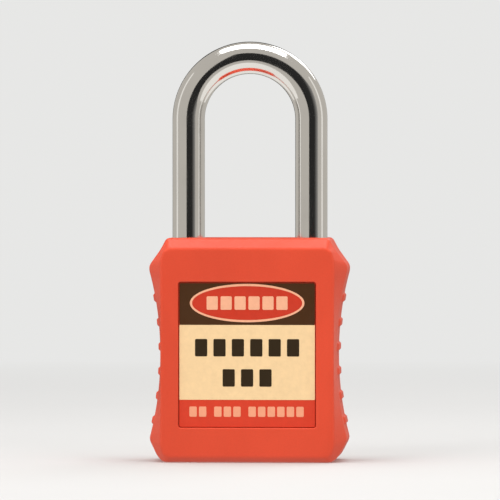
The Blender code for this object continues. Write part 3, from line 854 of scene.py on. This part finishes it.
# cylinder housing: barrel and pin chamber block in one bar
housing = slab("cylinder_housing_turned", lambda o: circle(HOUSING_R + o, 96), edge_levels(CYL_Z0, CYL_Z1, 0.25, 0.25))
bible = slab("h1", lambda o: rounded_rect((BIBLE_X - 2) / 2 + o, BIBLE_HALF + o, max(0.35 + o, 0.05), 6, (BIBLE_X + 2) / 2, 0.0), edge_levels(CYL_Z0, CYL_Z1, 0.25, 0.25))
boolean(housing, [bible], "UNION")
cuts = [
    flared("h2", lambda o: circle(HOUSING_BORE_R + o, 96), CYL_Z0, -1, 0.2, CYL_Z1 + 1, "+Z"),
    block("h3", (14.1, -1.95, 5.2), (BIBLE_X + 1, 1.95, 27.4)),
]
for i, z in enumerate(CHAMBER_Z):
    cuts.append(rod(f"h{i + 4}", CHAMBER_R, (3, 0, z), 14, "+X", 40))
boolean(housing, cuts)
carry(housing, "cylinder_housing", "body", brass)

lid = slab("chamber_cover_plate", lambda o: rounded_rect(1.65 + o, 10.8 + o, 0.25 + o, 5, 0.0, 16.3), [(-0.1, 14.4), (0.0, 14.5), (0.0, BIBLE_X - 0.12), (-0.04, BIBLE_X - 0.04), (-0.12, BIBLE_X)], "+X")
carry(lid, "chamber_cover", "body", brass)


def clip_outline(o):
    """Open ring with square-cut ends, as stamped from strip."""
    inner, outer, half = 3.9 - o, 6.0 + o, math.radians(150) + o / 5.0
    pts = []
    for k in range(73):
        a = math.pi - half + 2 * half * k / 72
        pts.append((outer * math.cos(a), outer * math.sin(a)))
    for k in range(73):
        a = math.pi + half - 2 * half * k / 72
        pts.append((inner * math.cos(a), inner * math.sin(a)))
    return pts


clip = slab("plug_retaining_clip_stamped", clip_outline, edge_levels(28.5, 29.2, 0.08, 0.08, 3))
carry(clip, "plug_retaining_clip", "plug", strip)

for i, z in enumerate(CHAMBER_Z):
    length = KEY_PIN_L[i]
    end = -4.85 + length
    profile = [(1.1, -4.85), (1.23, -4.81), (PIN_R, -4.70), (PIN_R, end - 0.74), (1.27, end - 0.68), (1.2, end - 0.6), (0.66, end - 0.06), (0.55, end)]
    key_pin = turned_piece(f"key_pin_{i + 1}_turned", profile, lambda u, v, t: (u, t, v + z), 48)
    carry(key_pin, f"key_pin_{i + 1}", f"key_pin_{i + 1}", brass)
    low, high = DRIVER_X0, DRIVER_X0 + DRIVER_L
    profile = [(1.1, low), (1.23, low + 0.04), (PIN_R, low + 0.15), (PIN_R, high - 0.15), (1.23, high - 0.04), (1.1, high)]
    driver = turned_piece(f"driver_pin_{i + 1}_turned", profile, lambda u, v, t: (t, u, v + z), 48)
    carry(driver, f"driver_pin_{i + 1}", f"driver_pin_{i + 1}", steel_pin)

# ------------------------------------------------------------ floor, light
BACKDROP = (0.80, 0.80, 0.79, 1.0)


def stage_floor():
    """Pale floor that fades, metres away, into the pale surround, so there is no horizon line."""
    rings = []
    for r in (0.02, 0.1, 0.3, 0.6, 1.0, 1.6, 2.5, 4.0, 7.0, 12.0):
        rings.append([(x * 1000, y * 1000, 0.0) for x, y in circle(r, 64)])
    verts = [(0.0, 0.0, 0.0)] + [p for ring in rings for p in ring]
    faces = [(0, 1 + i, 1 + (i + 1) % 64) for i in range(64)]
    for k in range(len(rings) - 1):
        for i in range(64):
            j = (i + 1) % 64
            faces.append((1 + k * 64 + i, 1 + (k + 1) * 64 + i, 1 + (k + 1) * 64 + j, 1 + k * 64 + j))
    obj = new_object("stage_floor", verts, faces, 0)
    if obj.data.polygons[0].normal.z < 0:
        obj.data.flip_normals()
    m = Mat("stage_floor", rough=0.75, specular=0.15)
    m.colour(m.ramp(m.noise(4, 3), [(0.3, (0.555, 0.56, 0.57, 1)), (0.7, (0.585, 0.59, 0.60, 1))]))
    nodes, out = m.tree.nodes, m.tree.nodes["Material Output"]
    glow = nodes.new("ShaderNodeEmission")
    glow.inputs["Color"].default_value = BACKDROP
    length = nodes.new("ShaderNodeVectorMath")
    length.operation = "LENGTH"
    m.link(m.coord, length.inputs[0])
    far = m.span(length.outputs["Value"], 0.10, 0.62)
    fade = nodes.new("ShaderNodeMixShader")
    m.link(far, fade.inputs[0])
    m.link(m.bsdf.outputs[0], fade.inputs[1])
    m.link(glow.outputs[0], fade.inputs[2])
    under = nodes.new("ShaderNodeNewGeometry")
    clear = nodes.new("ShaderNodeBsdfTransparent")
    one_way = nodes.new("ShaderNodeMixShader")
    m.link(under.outputs["Backfacing"], one_way.inputs[0])
    m.link(fade.outputs[0], one_way.inputs[1])
    m.link(clear.outputs[0], one_way.inputs[2])
    m.link(one_way.outputs[0], out.inputs["Surface"])
    paint(obj, m.mat)
    obj.visible_diffuse = False
    obj.visible_glossy = False
    obj.visible_shadow = False
    return obj


def stage_card(name, centre, width, height, level, flat=False, turn=0.0):
    """Studio card that only reflections see: it stands, turned about its own middle, or lies flat."""
    cx, cy, cz = (c * 1000 for c in centre)
    w, h = width * 500, height * 500
    if flat:
        verts = [(cx - w, cy - h, cz), (cx + w, cy - h, cz), (cx + w, cy + h, cz), (cx - w, cy + h, cz)]
    else:
        dx, dy = w * math.cos(math.radians(turn)), w * math.sin(math.radians(turn))
        verts = [(cx - dx, cy - dy, cz - h), (cx + dx, cy + dy, cz - h), (cx + dx, cy + dy, cz + h), (cx - dx, cy - dy, cz + h)]
    obj = new_object(name, verts, [(0, 1, 2, 3)], 0)
    m = Mat(name, rough=0.9, specular=0.0)
    m.colour(m.ramp(m.noise(3, 2), [(0.3, (0.010, 0.010, 0.010, 1)), (0.7, (0.014, 0.014, 0.014, 1))]))
    if isinstance(level, tuple):
        split = m.tree.nodes.new("ShaderNodeSeparateXYZ")
        m.link(m.coord, split.inputs[0])
        x0, x1, dark, light = level
        glow = m.span(split.outputs["X"], x0, x1)
        m.link(m.ramp(glow, [(0.0, (dark, dark, dark, 1)), (1.0, (light, light * 0.97, light * 0.92, 1))]), m.bsdf.inputs["Emission Color"])
        m.bsdf.inputs["Emission Strength"].default_value = 1.0
    else:
        m.bsdf.inputs["Emission Color"].default_value = (1.0, 0.97, 0.92, 1)
        m.bsdf.inputs["Emission Strength"].default_value = level
    paint(obj, m.mat)
    obj.visible_camera = False
    obj.visible_diffuse = False
    obj.visible_shadow = False
    obj.visible_transmission = False
    return obj


stage_floor()
stage_card("stage_card_front", (0.375, -0.72, 0.19), 1.07, 0.72, (0.36, 0.91, 0.012, 0.34))
stage_card("stage_card_back", (-0.12, 0.72, 0.19), 0.52, 0.72, 0.012)
stage_card("stage_card_left", (-0.75, -0.05, 0.20), 0.17, 0.90, 0.92, turn=86)
stage_card("stage_card_right", (0.75, -0.05, 0.20), 0.17, 0.90, 0.92, turn=-86)
stage_card("stage_card_below", (0.0, 0.0, -0.40), 2.4, 1.3, 0.95, True)


def area(name, where, target, size, size_y, power, colour=(1, 1, 1)):
    light = bpy.data.lights.new(name, "AREA")
    light.shape = "RECTANGLE"
    light.size = size
    light.size_y = size_y
    light.energy = power
    light.color = colour
    obj = bpy.data.objects.new(name, light)
    obj.location = where
    obj.rotation_euler = (Vector(target) - Vector(where)).to_track_quat("-Z", "Y").to_euler()
    bpy.context.scene.collection.objects.link(obj)
    return obj


CENTRE = (0.0, 0.0, 0.042)
for light in (area("key", (-0.42, -0.66, 0.42), CENTRE, 0.40, 0.40, 3.0, (1.0, 0.98, 0.95)),
              area("fill", (0.48, -0.62, 0.26), CENTRE, 0.35, 0.35, 1.7, (1.0, 0.97, 0.93)),
              area("left", (-0.72, -0.22, 0.28), CENTRE, 0.30, 0.60, 1.2, (1.0, 0.97, 0.92)),
              area("right", (0.72, -0.22, 0.28), CENTRE, 0.30, 0.60, 1.0, (1.0, 0.97, 0.92))):
    light.visible_glossy = False
area("top", (0.0, 0.02, 0.78), CENTRE, 0.70, 0.50, 4.6)
area("rear", (0.35, 0.65, 0.60), CENTRE, 0.4, 0.4, 1.6)

world = bpy.data.worlds.new("studio")
bpy.context.scene.world = world
world.use_nodes = True
tree = world.node_tree
lit = tree.nodes["Background"]
lit.inputs["Color"].default_value = (1.0, 0.95, 0.87, 1)
lit.inputs["Strength"].default_value = 0.55
seen = tree.nodes.new("ShaderNodeBackground")
seen.inputs["Color"].default_value = BACKDROP
seen.inputs["Strength"].default_value = 1.0
path = tree.nodes.new("ShaderNodeLightPath")
pick = tree.nodes.new("ShaderNodeMixShader")
tree.links.new(path.outputs["Is Camera Ray"], pick.inputs[0])
tree.links.new(lit.outputs[0], pick.inputs[1])
tree.links.new(seen.outputs[0], pick.inputs[2])
tree.links.new(pick.outputs[0], tree.nodes["World Output"].inputs["Surface"])
bpy.context.scene.view_settings.view_transform = "Standard"

# ---------------------------------------------------------------- camera
cam = bpy.data.cameras.new("camera")
cam.lens = 428
cam.sensor_width = 36
cam.clip_start = 0.01
cam_obj = bpy.data.objects.new("camera", cam)
bpy.context.scene.collection.objects.link(cam_obj)
azimuth, elevation, distance = math.radians(3.5), math.radians(0.8), 1.2
target = Vector((0.0, 0.0, 0.0425))
direction = Vector((math.sin(azimuth) * math.cos(elevation), -math.cos(azimuth) * math.cos(elevation), math.sin(elevation)))
cam_obj.location = target + direction * distance
cam_obj.rotation_euler = (-direction).to_track_quat("-Z", "Y").to_euler()
bpy.context.scene.camera = cam_obj
